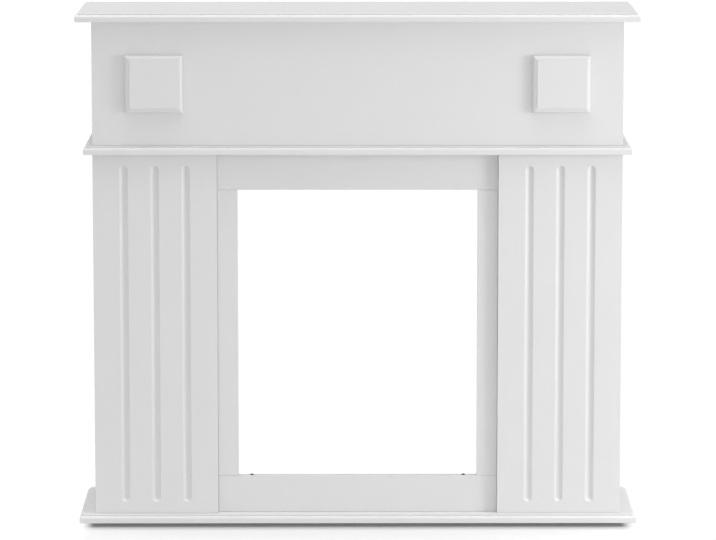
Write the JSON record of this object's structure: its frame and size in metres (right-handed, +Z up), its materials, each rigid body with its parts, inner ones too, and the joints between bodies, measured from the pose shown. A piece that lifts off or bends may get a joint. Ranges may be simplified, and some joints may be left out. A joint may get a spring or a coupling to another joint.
{
  "type": "fireplace mantelpiece",
  "caption": "Freestanding white fireplace surround: moulded mantel shelf, frieze with raised square blocks, fluted legs, flat frame round an open fire opening, and a plinth board.",
  "frame": {"origin": "on the floor, under the middle of the top shelf and of the base board", "axes": "+Z up, +X to the right seen from the front, -Y out of the front, so the back against the wall faces +Y"},
  "size_m": [1.1, 0.28, 1.017],
  "materials": {
    "painted_board": "satin white paint on fibreboard",
    "screw_steel": "black-oxide steel screw head",
    "glide_plastic": "dark matte plastic"
  },
  "bodies": {
    "root": {"base_board": "painted_board", "top_shelf": "painted_board", "mid_shelf": "painted_board", "frieze_panel": "painted_board", "frieze_side_left": "painted_board", "frieze_side_right": "painted_board", "frieze_block_left": "painted_board", "frieze_block_right": "painted_board", "pilaster_left": "painted_board", "pilaster_right": "painted_board", "leg_side_left": "painted_board", "leg_side_right": "painted_board", "leg_cheek_left": "painted_board", "leg_cheek_right": "painted_board", "lintel_rail": "painted_board", "bottom_rail": "painted_board", "stile_left": "painted_board", "stile_right": "painted_board", "rail_screw_left": "screw_steel", "rail_screw_right": "screw_steel", "glide_front_left": "glide_plastic", "glide_front_right": "glide_plastic", "glide_back_left": "glide_plastic", "glide_back_right": "glide_plastic"}
  },
  "joints": []
}
